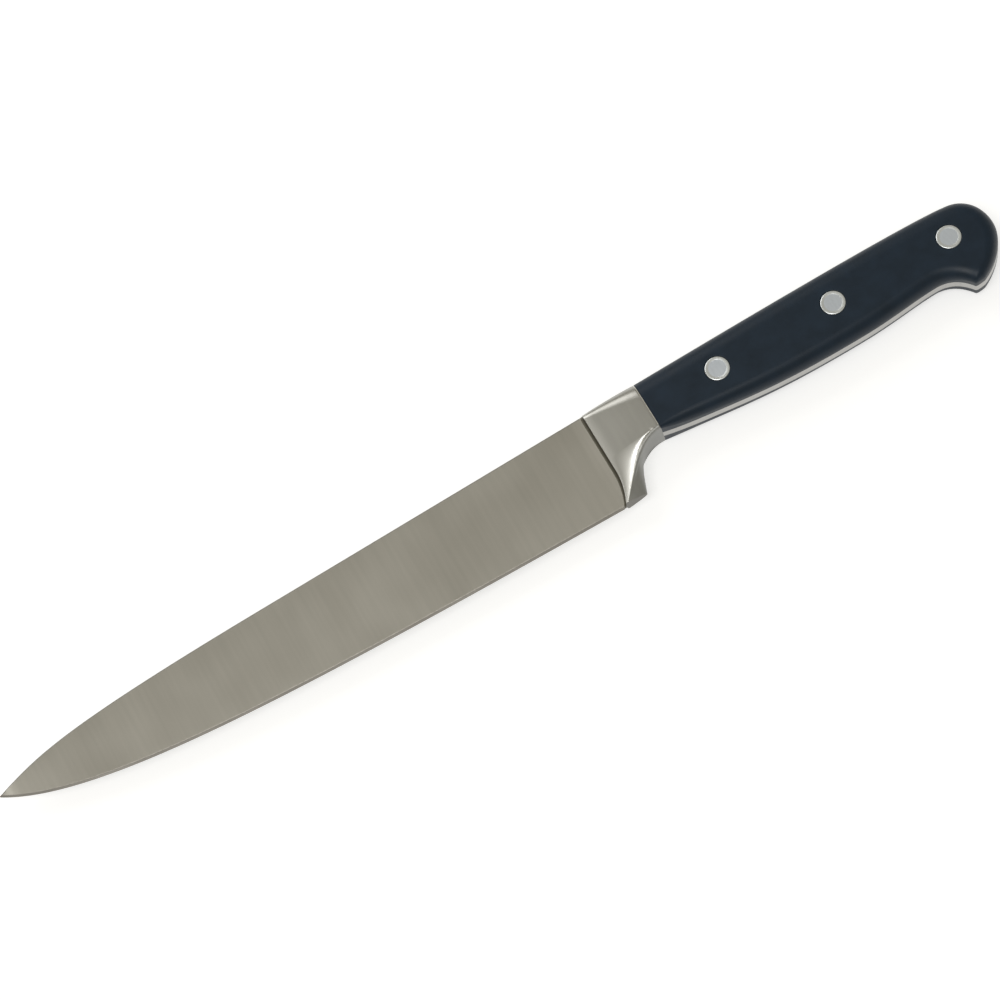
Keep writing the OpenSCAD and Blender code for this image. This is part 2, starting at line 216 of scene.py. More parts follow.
def linear(code):                  # sRGB hex to linear
    values = []
    for i in (1, 3, 5):
        c = int(code[i:i + 2], 16) / 255
        values.append(c / 12.92 if c <= 0.04045 else ((c + 0.055) / 1.055) ** 2.4)
    return (*values, 1)


def addNode(tree, kind, settings=None, inputs=None):
    node = tree.nodes.new(kind)
    for name, value in (settings or {}).items():
        setattr(node, name, value)
    for name, value in (inputs or {}).items():
        if isinstance(value, bpy.types.NodeSocket):
            tree.links.new(value, node.inputs[name])
        else:
            node.inputs[name].default_value = value
    return node


def newMaterial(name):
    material = bpy.data.materials.new(name)
    material.use_nodes = True
    tree = material.node_tree
    return material, tree, tree.nodes["Principled BSDF"]


def finishSurface(tree, shader, clouds, lines, roughness, strength):
    # the gloss drifts a little from patch to patch, and the lines of the belt or wheel are in relief
    lineDepth = 0.02
    rough = addNode(tree, "ShaderNodeMapRange", None, {
        "Value": clouds.outputs["Fac"], "From Min": noiseLow, "From Max": noiseHigh,
        "To Min": roughness[0], "To Max": roughness[1]})
    tree.links.new(rough.outputs["Result"], shader.inputs["Roughness"])
    bump = addNode(tree, "ShaderNodeBump", None, {
        "Strength": strength, "Distance": lineDepth * mm, "Height": lines.outputs["Fac"]})
    tree.links.new(bump.outputs["Normal"], shader.inputs["Normal"])


steelLook = {
    "spread": 0.07,            # how far tone and roughness drift either way
    "patchSize": 16.7,         # mm: the belt presses a little more here, a little less there
}


def satinSteel(name, colour, roughness, grain, strength, turn=(0, 0, 0), highlightTone=None):
    # Stainless steel ground on a belt: a soft grey sheen with fine lines that run along the grain.
    # grain holds the spacing and the length of the lines in mm. Real ones lie under 0.1 mm apart,
    # too fine to show, so they are drawn as coarse as they need to be. The roughness stays above
    # 0.275 everywhere, because a patch that crosses it shows its outline in the render.
    material, tree, shader = newMaterial(name)
    shader.inputs["Metallic"].default_value = 1
    coords = addNode(tree, "ShaderNodeTexCoord")
    spacing, length = grain
    mapping = addNode(tree, "ShaderNodeMapping", None, {
        "Vector": coords.outputs["Object"], "Rotation": turn,
        "Scale": (1 / (spacing * mm), 1 / (length * mm), 0)})
    lines = addNode(tree, "ShaderNodeTexNoise", None, {
        "Vector": mapping.outputs["Vector"], "Scale": 1, "Detail": 1, "Roughness": lineBlur})
    clouds = addNode(tree, "ShaderNodeTexNoise", None, {
        "Vector": coords.outputs["Object"], "Scale": 1 / (steelLook["patchSize"] * mm), "Detail": 1,
        "Roughness": lineBlur})
    darker, lighter = 1 - steelLook["spread"], 1 + steelLook["spread"]
    tone = addNode(tree, "ShaderNodeMix", {"data_type": "RGBA"}, {"Factor": lines.outputs["Fac"]})
    tone.inputs[colourA].default_value = [c * darker for c in linear(colour)[:3]] + [1]
    tone.inputs[colourB].default_value = [min(1, c * lighter) for c in linear(colour)[:3]] + [1]
    base = tone.outputs[mixedColour]
    if highlightTone:
        # the piece's own attribute says where a highlight is painted into the colour
        paintedHighlight = addNode(tree, "ShaderNodeAttribute", {"attribute_name": "paintedHighlight"})
        highlightMix = addNode(tree, "ShaderNodeMix", {"data_type": "RGBA"}, {"Factor": paintedHighlight.outputs["Fac"]})
        tree.links.new(base, highlightMix.inputs[colourA])
        highlightMix.inputs[colourB].default_value = linear(highlightTone)
        base = highlightMix.outputs[mixedColour]
    tree.links.new(base, shader.inputs["Base Color"])
    finishSurface(tree, shader, clouds, lines, (roughness * darker, roughness * lighter), strength)
    return material


# the blade's sides, ground across on a fine belt: soft warm grey, with faint streaks from spine to edge
bladeSteel = satinSteel("satinGroundStainless", "#ADAAA2", 0.3, (1.4, 30), 0.05)
# the step, too narrow for the belt: duller, and painted darker than the steel on either side as the shade
# in its hollow, like a drawn line
stepShadeSteel = satinSteel("stepPaintedShadeSteel", "#77746B", 0.4, (2, 2), 0.05)
# the spine, ground crosswise and left at that: rougher, and painted darker as shade, a dull grey border
# above the bright side
spineShadeSteel = satinSteel("spinePaintedShadeSteel", "#6E6D69", 0.4, (0.8, 3), 0.1)
# the edge bevel, honed on a stone: matt, and painted darker as shade, so it stays an even thin dark line
# from any side
edgeShadeSteel = satinSteel("honedEdgePaintedShadeSteel", "#85827C", 0.55, (1, 0.5), 0.1)
# the forged bolster, ground and buffed: smoother grey than the blade, and a painted highlight makes it
# nearly white along its ridge and brighter on the step's brow
bolsterSteel = satinSteel("forgedStainlessPaintedHighlight", "#A5A49F", 0.3, (1.8, 12), 0.04, highlightTone="#F2F2EF")
# its eased end at the handle: a painted highlight, a thin bright line beside the black
jointHighlightSteel = satinSteel("jointPaintedHighlightSteel", "#EEECE6", 0.4, (2, 2), 0.05)
# the guard's finger side: rougher, and painted a darker mid grey than the bolster's side as shade on this
# face, which turns back and down; it spreads the light
fingerShadeSteel = satinSteel("fingerSidePaintedShadeSteel", "#9A9A97", 0.5, (1.2, 9), 0.08)
# the foot's underside, ground flat: painted dark as shade, and plain
footShadeSteel = satinSteel("footPaintedShadeSteel", "#75736E", 0.45, (2, 2), 0.08)
# the tang's edge, ground lengthways together with the scales: a pale satin band along the handle
tangSteel = satinSteel("groundTangSteel", "#B5B4B1", 0.38, (8, 0.8), 0.15)
# rivet heads, ground flush: pale cool discs with slanted lines, and a ring round them painted a little
# brighter as a highlight
rivetSteel = satinSteel("groundRivetSteel", "#D5DCE6", 0.34, (0.7, 3), 0.3, turn=(0, 0, 0.6))
rimHighlightSteel = satinSteel("rivetRimPaintedHighlight", "#DDE1E3", 0.3, (0.9, 4), 0.1)

acetal = {
    "tones": ("#05141F", "#0D2437"),
    "roughness": (0.36, 0.48),
    "refraction": 1.48,
    "gloss": 0.35,
    "patchSize": 5.56,         # mm: handling leaves it a little cloudy
    "patchDetail": 6,
    "patchBlur": 0.65,
    "lineSpacing": 1.1,        # mm: real buffing lines are finer, and these just coarse enough to show
    "lineLength": 14,
    "relief": 0.06,
}


def blackAcetal():
    # Moulded acetal, ground flush and buffed: dense blue-black with a soft gloss, a little cloudy,
    # and with faint lines along the handle
    material, tree, shader = newMaterial("buffedBlackAcetal")
    shader.inputs["IOR"].default_value = acetal["refraction"]
    shader.inputs["Specular IOR Level"].default_value = acetal["gloss"]
    coords = addNode(tree, "ShaderNodeTexCoord")
    clouds = addNode(tree, "ShaderNodeTexNoise", None, {
        "Vector": coords.outputs["Object"], "Scale": 1 / (acetal["patchSize"] * mm),
        "Detail": acetal["patchDetail"], "Roughness": acetal["patchBlur"]})
    tone = addNode(tree, "ShaderNodeMix", {"data_type": "RGBA"}, {"Factor": clouds.outputs["Fac"]})
    tone.inputs[colourA].default_value = linear(acetal["tones"][0])
    tone.inputs[colourB].default_value = linear(acetal["tones"][1])
    tree.links.new(tone.outputs[mixedColour], shader.inputs["Base Color"])
    across = 1 / (acetal["lineSpacing"] * mm)
    mapping = addNode(tree, "ShaderNodeMapping", None, {
        "Vector": coords.outputs["Object"], "Scale": (1 / (acetal["lineLength"] * mm), across, across)})
    lines = addNode(tree, "ShaderNodeTexNoise", None, {
        "Vector": mapping.outputs["Vector"], "Scale": 1, "Detail": 1, "Roughness": lineBlur})
    finishSurface(tree, shader, clouds, lines, acetal["roughness"], acetal["relief"])
    return material


scalePlastic = blackAcetal()
print("materials ready")


# Outline of the handle

# Sizes are in mm, in the knife's own measures: x from the joint of bolster and handle towards the
# butt, y from the line of the spine (down is negative), z from the middle of the tang.
handle = {
    "length": 112.7,
    "width": 12.8,
    "tang": 3.2,
    "backDrop": 0.3,           # every drop and depth is below the line of the spine
    "frontDepth": 17,
    "neck": (13, -19.4),
    "belly": (63, -23.3),
    "waistFromButt": 24.2,
    "waistDepth": 22,
    "waistInset": 0.6,
    "beakDepth": 28,
    "beakFromButt": 12.9,
    "beakLength": 3.2,
    "beakRise": 0.4,           # its two ends are this much higher than its lowest place
    "buttDepth": 13.5,
    "crownDepth": 2.3,
    "crownFromButt": 9.2,
    "backRound": 5.8,          # round: how far the flat side is set in from the outline
    "backWrap": 4.5,           # wrap: how far the rounding reaches in from the side
    "bellyRound": 4,
    "bellyWrap": 4.5,
    "neckRound": 3.2,
    "neckWrap": 3.4,
    "frontRound": 0.9,
    "frontWrap": 1.3,
    "buttRound": 4.5,
    "beakInset": (2.6, 2.8),
    "beakBackInset": -0.4,
    "beakWrap": 2.8,
    "edgeLand": 0.2,           # the least that stays straight between the rounding and the tang
}
halfWidth = handle["width"] / 2
halfTang = handle["tang"] / 2
beakX = handle["length"] - handle["beakFromButt"]
beakY = handle["beakRise"] - handle["beakDepth"]

# Each knot holds x, y, how far the flat side is set in from it in x and in y, and how far the
# rounding reaches in from the side.
knots = {
    "start": (0, -handle["frontDepth"], 0, handle["frontRound"], handle["frontWrap"]),
    "neck": (*handle["neck"], 0, handle["neckRound"], handle["neckWrap"]),
    "belly": (*handle["belly"], 0, handle["bellyRound"], handle["bellyWrap"]),
    "waist": (handle["length"] - handle["waistFromButt"], -handle["waistDepth"], handle["waistInset"],
              handle["bellyRound"], handle["bellyWrap"]),
    "beakFront": (beakX - handle["beakLength"] / 2, beakY, *handle["beakInset"], handle["beakWrap"]),
    "beakBack": (beakX + handle["beakLength"] / 2, beakY, handle["beakBackInset"],
                 handle["beakInset"][1], handle["beakWrap"]),
    "butt": (handle["length"], -handle["buttDepth"], -handle["buttRound"], 0, handle["buttRound"]),
    "crown": (handle["length"] - handle["crownFromButt"], -handle["crownDepth"], 0,
              -handle["backRound"], handle["backWrap"]),
    "finish": (0, -handle["backDrop"], 0, -handle["backRound"], handle["backWrap"]),
}

# Each stretch: the knot where it starts, how it leaves, how it arrives, where it ends, and its steps
stretches = [
    ("start", (4.5, -1.1, 0, 2, 1.4), (-4.3, 0.62, 0, -0.1, -0.1), "neck", 14),
    ("neck", (16, -2.3, 0, 0.4, 0.3), (-24, 0, 0, 0, 0), "belly", 24),
    ("belly", (11, 0, 0.3, 0, 0), (-7, 0, -0.2, 0, 0), "waist", 14),
    ("waist", (5.2, 0, 1, -0.4, -1), (-1.7, 2.5, -0.4, 0, 0), "beakFront", 20),
    ("beakFront", (0.5, -0.45, 0, 0, 0), (-0.7, -0.1, 0.8, 0, 0), "beakBack", 12),
    ("beakBack", (6.6, 2.7, -2.2, -0.4, 0.9), (0, -5, 0, 1.8, 0), "butt", 24),
    ("butt", (0, 6.2, 0, -1.9, 0), (5.4, -0.6, -2.3, 0.5, 0), "crown", 24),
    ("crown", (-12, 1.8, 0, 0, 0), (40, 0, 0, 0, 0), "finish", 24),
]

outline = [Vector(knots["start"])]
for first, leave, arrive, last, steps in stretches:
    a, d = Vector(knots[first]), Vector(knots[last])
    controls = [a, a + Vector(leave), d + Vector(arrive), d]
    outline += [bezier(controls, i / steps) for i in range(1, steps + 1)]
print("outline of the handle worked out,", len(outline), "points")


# Blade, bolster and tang: one forging

blade = {
    "length": 200,
    "heelHeight": 30.6,
    "pointDrop": 8,            # the point is this far below the line of the spine
    "pointHeight": 0.3,        # and its blunt end this high
    "fallLength": 92,          # the last stretch of the spine falls away to the point
    "fallBend": (0.16, 0.45),  # inner points of that curve, in shares of its length and drop
    "fallStart": 0.23,
    "nose": (24.5, 6.6),       # inner points of the edge's curve: behind the point, above the heel
    "sweep": (82.4, 3.1),
    "spineThick": 2.6,         # at the bolster
    "pointThick": 1.0,
    "tipHalf": 0.1,            # close to the point half the thickness starts at this
    "tipGrowth": 0.14,         # and grows by this for each mm of height
    "spineEase": 0.25,
    "bevelHeight": 0.8,
    "bevelThick": 0.44,        # where the edge bevel starts
    "edgeThick": 0.04,
    "thinShare": 0.2,          # near the point, ease and bevel take no more of the height than this
    "honedShare": 0.95,        # this much of the bevel shows as honed
    "crowding": 1.7,           # sections crowd together towards the point
}

bolster = {
    "length": 18.5,
    "stepLength": 1.2,         # the hollow step up from the blade
    "stepWidth": 6.8,
    "stepRound": 1.8,
    "leanStart": 20,           # below this depth the step bends towards the point
    "stepLean": 2.4,           # by this much at the foot
    "shadeShare": 0.85,         # of the step's length that is painted dark as shade
    "footLift": 0.5,           # the foot ends this much above the heel
    "footWidth": 5.2,
    "footBackWidth": 2.4,
    "footFront": 19,           # the foot's two ends, from the joint
    "footBack": 13,
    "ridgeLead": (7, 0.2),     # how the guard's ridge leaves the joint, in mm
    "ridgeTurn": (11, 0.38),   # where it turns down: mm from the joint, share of the way down
    "backLead": (8, 0.1),      # the same for its back, with a share of the width
    "backTurn": (9.5, 0.26, 0.2),
    "flare": 1.5,              # power of the side's swell to the handle's width
    "rollWidth": 4.5,          # the side rolls over towards the guard's ridge
    "rollGrowth": 0.8,
    "rollTilt": 0.36,
    "endEase": 0.3,            # its end is eased where it meets the handle
    "browHighlight": 0.3,         # painted highlight: how bright the edge above the step is, and the ridge
    "ridgeHighlight": 0.95,
    "browWidth": 0.15,         # shares of the way from step to ridge
    "highlightFrom": 0.05,
    "highlightEase": 0.6,
    "highlightFull": 0.7,         # share of the way down the ridge
}

tipX = -(blade["length"] + bolster["length"])
footDepth = blade["heelHeight"] - bolster["footLift"]

# where the zero of these measures is in the shared frame
jointX = cadLow.x / mm - tipX
spineY = cadHigh.y / mm
middleZ = (cadLow.z + cadHigh.z) / 2 / mm


def place(p):                      # from the knife's own measures to the shared frame
    return Vector((p[0] + jointX, p[1] + spineY, p[2] + middleZ)) * mm


def onMiddle(p):
    return Vector((p[0], p[1], 0))


def stepX(y):                      # where the step ends and the bolster's side begins
    lean = max(0, (-y - bolster["leanStart"]) / (footDepth - bolster["leanStart"]))
    return -bolster["length"] + bolster["stepLength"] - bolster["stepLean"] * lean ** 2


heelX = stepX(-footDepth) - bolster["stepLength"]
spineCurve = [
    (tipX, -blade["pointDrop"]),
    (tipX + blade["fallBend"][0] * blade["fallLength"], -blade["fallBend"][1] * blade["pointDrop"]),
    (tipX + blade["fallStart"] * blade["fallLength"], 0),
    (tipX + blade["fallLength"], 0),
]
edgeCurve = [
    (tipX, -blade["pointDrop"] - blade["pointHeight"]),
    (tipX + blade["nose"][0], blade["nose"][1] - blade["heelHeight"]),
    (tipX + blade["sweep"][0], blade["sweep"][1] - blade["heelHeight"]),
    (heelX, -blade["heelHeight"]),
]
ridge = [
    (0, -handle["frontDepth"]),
    (-bolster["ridgeLead"][0], bolster["ridgeLead"][1] - handle["frontDepth"]),
    (-bolster["ridgeTurn"][0], -mix(handle["frontDepth"], footDepth, bolster["ridgeTurn"][1])),
    (-bolster["footFront"], -footDepth),
]
guardStart = Vector((0, -handle["frontDepth"], halfWidth - handle["frontWrap"]))
guardBack = [
    guardStart,
    guardStart + Vector((-bolster["backLead"][0], bolster["backLead"][1], 0)),
    (-bolster["backTurn"][0], -mix(handle["frontDepth"], footDepth, bolster["backTurn"][1]),
     mix(bolster["footBackWidth"] / 2, halfWidth, bolster["backTurn"][2])),
    (-bolster["footBack"], -footDepth, bolster["footBackWidth"] / 2),
]

# From the joint to the foot: how far the side ends above the ridge (x, y), and how far the finger
# side starts below it (x, y, z). Both begin as the scale's own rounding.
overSide = [(0, handle["frontRound"]), (-0.2, handle["frontRound"]), (-0.5, 0.3), (0, 0)]
overBack = [(0, 0, -handle["frontWrap"]), (0, 0, -handle["frontWrap"]), (0.5, 0, -0.5), (0.5, 0, -0.1)]

# Rows of points that run the length of the blade and bolster: what kind, and how far through it
tangShare = halfTang / (halfWidth - handle["backWrap"])
cornerSteps, sideSteps, ridgeSteps = 8, 14, 28
sideCrowding = 1.3                 # rows crowd together towards the spine
rowsAlong = [("flat", 0), ("flat", tangShare)]
rowsAlong += [("corner", i / cornerSteps) for i in range(cornerSteps + 1)]
rowsAlong += [("side", (i / sideSteps) ** sideCrowding) for i in range(1, sideSteps + 1)]
rowsAlong += [("ridge", i / ridgeSteps) for i in range(1, ridgeSteps + 1)]
rowsAlong.insert(-2, ("ridge", 1 - 1.25 / ridgeSteps))       # one more, close above the edge bevel
lowestCorner = ("corner", 1)


def spineAt(x):
    return curveHeight(spineCurve, x) if x < tipX + blade["fallLength"] else 0.0


def edgeAt(x):
    return curveHeight(edgeCurve, x)


def topOfRow(row, top, half, reach, ease):     # height and half thickness round the spine's corner
    kind, t = row
    if kind == "flat":
        return top, (half - ease) * t
    angle = math.radians(90 * t)
    return top - reach + reach * math.cos(angle), half - ease + ease * math.sin(angle)


def panelHalf(x, y):               # half thickness of the bolster's flared side
    rise = 1 - max(0, x / stepX(y)) ** bolster["flare"]
    stepHalf = mix(bolster["stepWidth"], bolster["footWidth"], -y / footDepth) / 2
    return mix(stepHalf, halfWidth, rise)


def rollAt(t, x, y, last):         # how far the side has rolled over, towards the ridge
    width = bolster["rollWidth"] * t ** bolster["rollGrowth"]
    reach = last - stepX(y)
    if width < near or reach < near:
        return 0
    power = 2 + reach / width
    return bolster["rollTilt"] * reach / power * ((x - stepX(y)) / reach) ** power


def ridgeAt(t):                    # where the side ends
    x, y = bezier(ridge, t) + bezier(overSide, t)
    return Vector((x, y, panelHalf(x, y) - rollAt(t, x, y, x)))


def crestAt(t):                    # the ridge itself
    side = ridgeAt(t)
    x, y = bezier(ridge, t)
    return Vector((x, y, side.z - bolster["rollTilt"] * t * (x - side.x)))


def bolsterHeight(s, row):
    top = -handle["backDrop"] * s * s
    reach = mix(bolster["stepRound"], handle["backRound"], s)
    kind, t = row
    if kind in ("flat", "corner"):
        return topOfRow(row, top, 0, reach, 0)[0]
    if kind == "side":
        return mix(top - reach, handle["frontRound"] - handle["frontDepth"], t)
    return ridgeAt(t).y


def bolsterPoint(s, row):          # s runs from the step to the joint or the ridge
    kind, t = row
    y = bolsterHeight(s, row)
    last = ridgeAt(t).x if kind == "ridge" else 0
    x = mix(stepX(y), last, s)
    half = panelHalf(x, y)
    if kind == "ridge":
        half -= rollAt(t, x, y, last)
    ease = mix(bolster["stepRound"], handle["backWrap"], s)
    z = topOfRow(row, 0, half, 0, ease)[1] if kind in ("flat", "corner") else half
    return Vector((x, y, z))


def rowShare(row):                 # how far down the step a row lies
    top = bolsterHeight(0, lowestCorner)
    return (top - bolsterHeight(0, row)) / (top + footDepth)


def bladePoint(x, row):            # the side tapers from spine to edge and from heel to point
    kind = row[0]
    top, bottom = spineAt(x), edgeAt(x)
    height = top - bottom
    ease = min(blade["spineEase"], height * blade["thinShare"])
    bevel = min(blade["bevelHeight"], height * blade["thinShare"])
    thick = mix(blade["pointThick"], blade["spineThick"], (x - tipX) / blade["length"])
    spineHalf = min(thick / 2, blade["tipHalf"] + height * blade["tipGrowth"])
    if row == rowsAlong[-1]:
        return Vector((x, bottom, blade["edgeThick"] / 2))
    if kind in ("flat", "corner"):
        y = topOfRow(row, top, 0, ease, 0)[0]
    else:
        y = mix(top - ease, bottom + bevel, rowShare(row) / rowShare(rowsAlong[-2]))
    half = mix(spineHalf, min(blade["bevelThick"] / 2, spineHalf), (top - y) / (height - bevel))
    z = topOfRow(row, 0, half, 0, ease)[1] if kind in ("flat", "corner") else half
    return Vector((x, y, z))


def heelPoint(row):                # where the blade ends and the step begins
    y = -footDepth if row == rowsAlong[-1] else bladePoint(-bolster["length"], row).y
    x = stepX(y) - bolster["stepLength"]
    p = bladePoint(x, row)
    return Vector((x, p.y, p.z))


def stepPoint(s, row):             # the hollow step rises to the bolster as a quarter circle
    p, q = heelPoint(row), bolsterPoint(0, row)
    rise = 1 - math.sqrt(1 - s * s)
    return Vector((mix(p.x, q.x, s), mix(p.y, q.y, s), mix(p.z, q.z, rise)))


def paintedHighlightAt(s, row):              # painted highlight: brighter along the ridge towards the foot, and on the step's brow
    if s < 0:
        return 0
    brow = bolster["browHighlight"] * max(0, 1 - s / bolster["browWidth"])
    kind, t = row
    if kind != "ridge":
        return brow
    over = min(1, max(0, (s - bolster["highlightFrom"]) / bolster["highlightEase"]))
    over = over * over * (3 - 2 * over)
    return max(brow, bolster["ridgeHighlight"] * over * min(1, t / bolster["highlightFull"]))


steels = [bladeSteel, spineShadeSteel, edgeShadeSteel, stepShadeSteel, bolsterSteel, jointHighlightSteel, fingerShadeSteel,
          footShadeSteel, tangSteel]
onBlade, onSpine, onEdge, onStep, onBolster, onJoint, onFinger, onFoot, onTang = range(len(steels))


def sidePart(face):                # which of the steels a face of the side has
    x, y = face.center.x / mm - jointX, face.center.y / mm - spineY
    margin = 0.05
    # the foot, the step, the spine and the edge bevel take steels painted darker as shade
    if y < 2 * margin - footDepth and x > heelX:
        return onFoot
    if x > stepX(y) - margin:
        return onBolster
    if x > stepX(y) - bolster["stepLength"] * bolster["shadeShare"]:
        return onStep
    if y > spineAt(x) - blade["spineEase"]:
        return onSpine
    return onEdge if y < edgeAt(x) + blade["bevelHeight"] * blade["honedShare"] else onBlade


def makeSide():
    # the left side of blade, step and bolster, from the middle of the back to that of the edge
    bladeSteps, stepSteps, bolsterSteps = 90, 10, 22
    sections = []
    for i in range(bladeSteps):
        x = tipX + blade["length"] * (i / bladeSteps) ** blade["crowding"]
        sections.append([bladePoint(x, row) for row in rowsAlong])
    sections.insert(0, [onMiddle(p) for p in sections[0]])       # closes the blunt end of the point
    sections.append([heelPoint(row) for row in rowsAlong])
    for i in range(1, stepSteps + 1):
        s = math.sin(math.radians(90 * i / stepSteps))
        sections.append([stepPoint(s, row) for row in rowsAlong])
    for i in range(1, bolsterSteps + 1):
        sections.append([bolsterPoint(i / bolsterSteps, row) for row in rowsAlong])
    for section in sections:
        section.append(onMiddle(section[-1]))
    side = addSkin("side", sections)
    # the painted highlight: brightest along the guard's ridge near the foot, fainter on the step's brow
    paintedHighlight = side.data.attributes.new("paintedHighlight", "FLOAT", "POINT")
    firstBolster = len(sections) - bolsterSteps - 1
    for index, point in enumerate(paintedHighlight.data):
        section, row = divmod(index, len(sections[0]))
        row = rowsAlong[min(row, len(rowsAlong) - 1)]
        point.value = paintedHighlightAt((section - firstBolster) / bolsterSteps, row)
    setMaterials(side, steels, sidePart)
    return side


def makeFingerSide():
    # from the end of the side, over the ridge and in to the middle of the guard's back
    filletSteps, backSteps = 8, 10
    tangMark = math.sqrt(1 - halfTang / guardStart.z)            # where the tang's side meets it
    backShares = [tangMark * j / backSteps for j in range(1, backSteps + 1)] + [1]
    lines = []
    for t in [0] + [row[1] for row in rowsAlong if row[0] == "ridge"]:
        crest = crestAt(t)
        upper, under = ridgeAt(t), crest + bezier(overBack, t)
        line = []
        for j in range(filletSteps + 1):
            f = j / filletSteps
            line.append(mix(mix(upper, crest, f), mix(crest, under, f), f))
        back = bezier(guardBack, t)
        for f in backShares:
            line.append(under * (1 - f) ** 2 + back * (2 * f * (1 - f)) + onMiddle(back) * f * f)
        lines.append(line)
    finger = addSkin("finger", lines)
    setMaterials(finger, steels, lambda face: onFinger)
    return finger


def makeTangEdge():
    # the handle's outline, from the tang's side to its middle
    edge = addSkin("tangEdge", [[(p[0], p[1], z) for p in outline] for z in (halfTang, 0)])
    setMaterials(edge, steels, lambda face: onTang)
    return edge


def makeForging():
    half = joinPieces("forging", [makeSide(), makeFingerSide(), makeTangEdge()])
    mergeDoubles(half)
    joint = place((0, 0, 0)).x
    tangTop = place((0, 0, halfTang)).z
    bottom = place((0, -footDepth, 0))
    small = near * mm
    half.active_material_index = onTang
    fillHole(half, lambda ends, uses: uses == 1 and all(abs(p.x - joint) < small and p.z > tangTop - small
                                                        for p in ends))
    fillHole(half, lambda ends, uses: uses == 1 and all(abs(p.z - tangTop) < small for p in ends))
    # the foot's underside takes the steel painted dark as shade
    half.active_material_index = onFoot
    fillHole(half, lambda ends, uses: uses == 1 and all(abs(p.y - bottom.y) < small for p in ends)
             and any(p.z > bottom.z + small for p in ends))
    whole = joinPieces("forging", [half, mirrorCopy(half)])
    mergeDoubles(whole)
    return whole


def easeJoint(piece):              # the end of the bolster's side, where it meets the handle; it gets the painted highlight
    margin = 0.05
    cornerHeight = 1               # the lowest corner keeps the finger side's steel
    joint = place((0, 0, 0)).x
    guardBottom = place((0, margin - handle["frontDepth"], 0)).y
    guardTop = place((0, cornerHeight - handle["frontDepth"], 0)).y

    def atJoint(ends, uses):
        fromMiddle = [abs(p.z / mm - middleZ) for p in ends]
        return (all(abs(p.x - joint) < near * mm for p in ends) and any(p.y > guardBottom for p in ends)
                and min(fromMiddle) > halfTang - near and max(fromMiddle) > halfTang + margin)

    selectEdges(piece, atJoint)
    bpy.ops.mesh.bevel(offset=bolster["endEase"] * mm, segments=2, profile=0.5, material=onJoint)
    bpy.ops.object.mode_set(mode="OBJECT")
    for face in piece.data.polygons:
        if face.material_index == onJoint and face.center.y < guardTop:
            face.material_index = onFinger


forging = makeForging()
easeJoint(forging)
print("forging made,", len(forging.data.polygons), "faces")


# Rivets

rivet = {
    "headDiameter": 7.4,
    "headThick": 2,
    "shank": 5,
    "pin": 3,
    "fromFront": 22.7,         # the front one from the joint, the rear one from the butt
    "fromButt": 13.7,
    "frontDepth": 10.4,        # and their depths below the line of the spine
    "rearDepth": 12.2,
    "headGap": 0.06,           # what stays free round the heads, round the shanks in the scales and
    "shankGap": 0.1,           # in the tang, at the ends of the shanks and round the pins
    "tangGap": 0.3,
    "endGap": 0.3,
    "pinGap": 0.01,
    "holeEase": 0.22,          # the rims of the holes in the scales are eased
    "rim": 0.3,                # and so are those of the heads
    "rimSteps": 3,
    "ring": 0.55,              # inside the rim runs a ring, painted a little brighter as a highlight
    "slope": 0.15,
    "dish": 0.05,              # and the disc in the middle lies a hair lower
    "land": 0.06,              # a narrow flat beside the rim and beside the slope
}
rivetNames = ("front", "middle", "rear")
rivetPlaces = [
    (mix(rivet["fromFront"], handle["length"] - rivet["fromButt"], t),
     -mix(rivet["frontDepth"], rivet["rearDepth"], t))
    for t in (0, 0.5, 1)
]


def makeRivet(name, at, isTube):
    # modelled with its head up; the pin half is solid, and turned to come from the other side
    deselectAll()
    flat = 0.99                    # how straight a face has to look up or down to be an end
    head = rivet["headThick"]
    radius = rivet["headDiameter"] / 2
    bpy.ops.mesh.primitive_cylinder_add(
        vertices=roundSides, radius=radius * mm, depth=head * mm,
        location=(0, 0, (halfWidth - head / 2) * mm))
    piece = bpy.context.object
    piece.name = name
    bpy.ops.object.transform_apply(location=True)
    selectEdges(piece, lambda ends, uses: all(p.z > (halfWidth - near) * mm for p in ends))
    bpy.ops.mesh.bevel(offset=rivet["rim"] * mm, segments=rivet["rimSteps"], profile=0.5)
    selectFaces(piece, lambda face: face.normal.z > flat)
    bpy.ops.mesh.inset(thickness=rivet["land"] * mm, depth=0)
    bpy.ops.mesh.inset(thickness=rivet["ring"] * mm, depth=0)
    bpy.ops.mesh.inset(thickness=rivet["slope"] * mm, depth=-rivet["dish"] * mm)
    bpy.ops.mesh.inset(thickness=rivet["land"] * mm, depth=0)
    shank = rivet["shank"] if isTube else rivet["pin"]
    length = 2 * (halfWidth - head) - rivet["endGap"]
    selectFaces(piece, lambda face: face.normal.z < -flat)
    bpy.ops.mesh.inset(thickness=(radius - shank / 2) * mm, depth=0)
    bpy.ops.mesh.extrude_region_move(TRANSFORM_OT_translate={"value": (0, 0, -length * mm)})
    if isTube:
        bpy.ops.mesh.inset(thickness=((shank - rivet["pin"]) / 2 - rivet["pinGap"]) * mm, depth=0)
        bpy.ops.mesh.extrude_region_move(TRANSFORM_OT_translate={"value": (0, 0, length * mm)})
    bpy.ops.object.mode_set(mode="OBJECT")
    turn = Matrix.Identity(4) if isTube else Matrix.Rotation(math.pi, 4, "X")
    axis = place((*at, 0))
    piece.data.transform(Matrix.Translation(axis) @ turn)
    smooth(piece, degrees=40)
    discRadius = radius - rivet["rim"] - rivet["ring"] - rivet["slope"]
    # rim, ring and slope take the steel with the painted highlight
    setMaterials(piece, [rivetSteel, rimHighlightSteel], lambda face: int(
        max((piece.data.vertices[i].co.xy - axis.xy).length for i in face.vertices) > discRadius * mm))
    return piece


# Handle scales

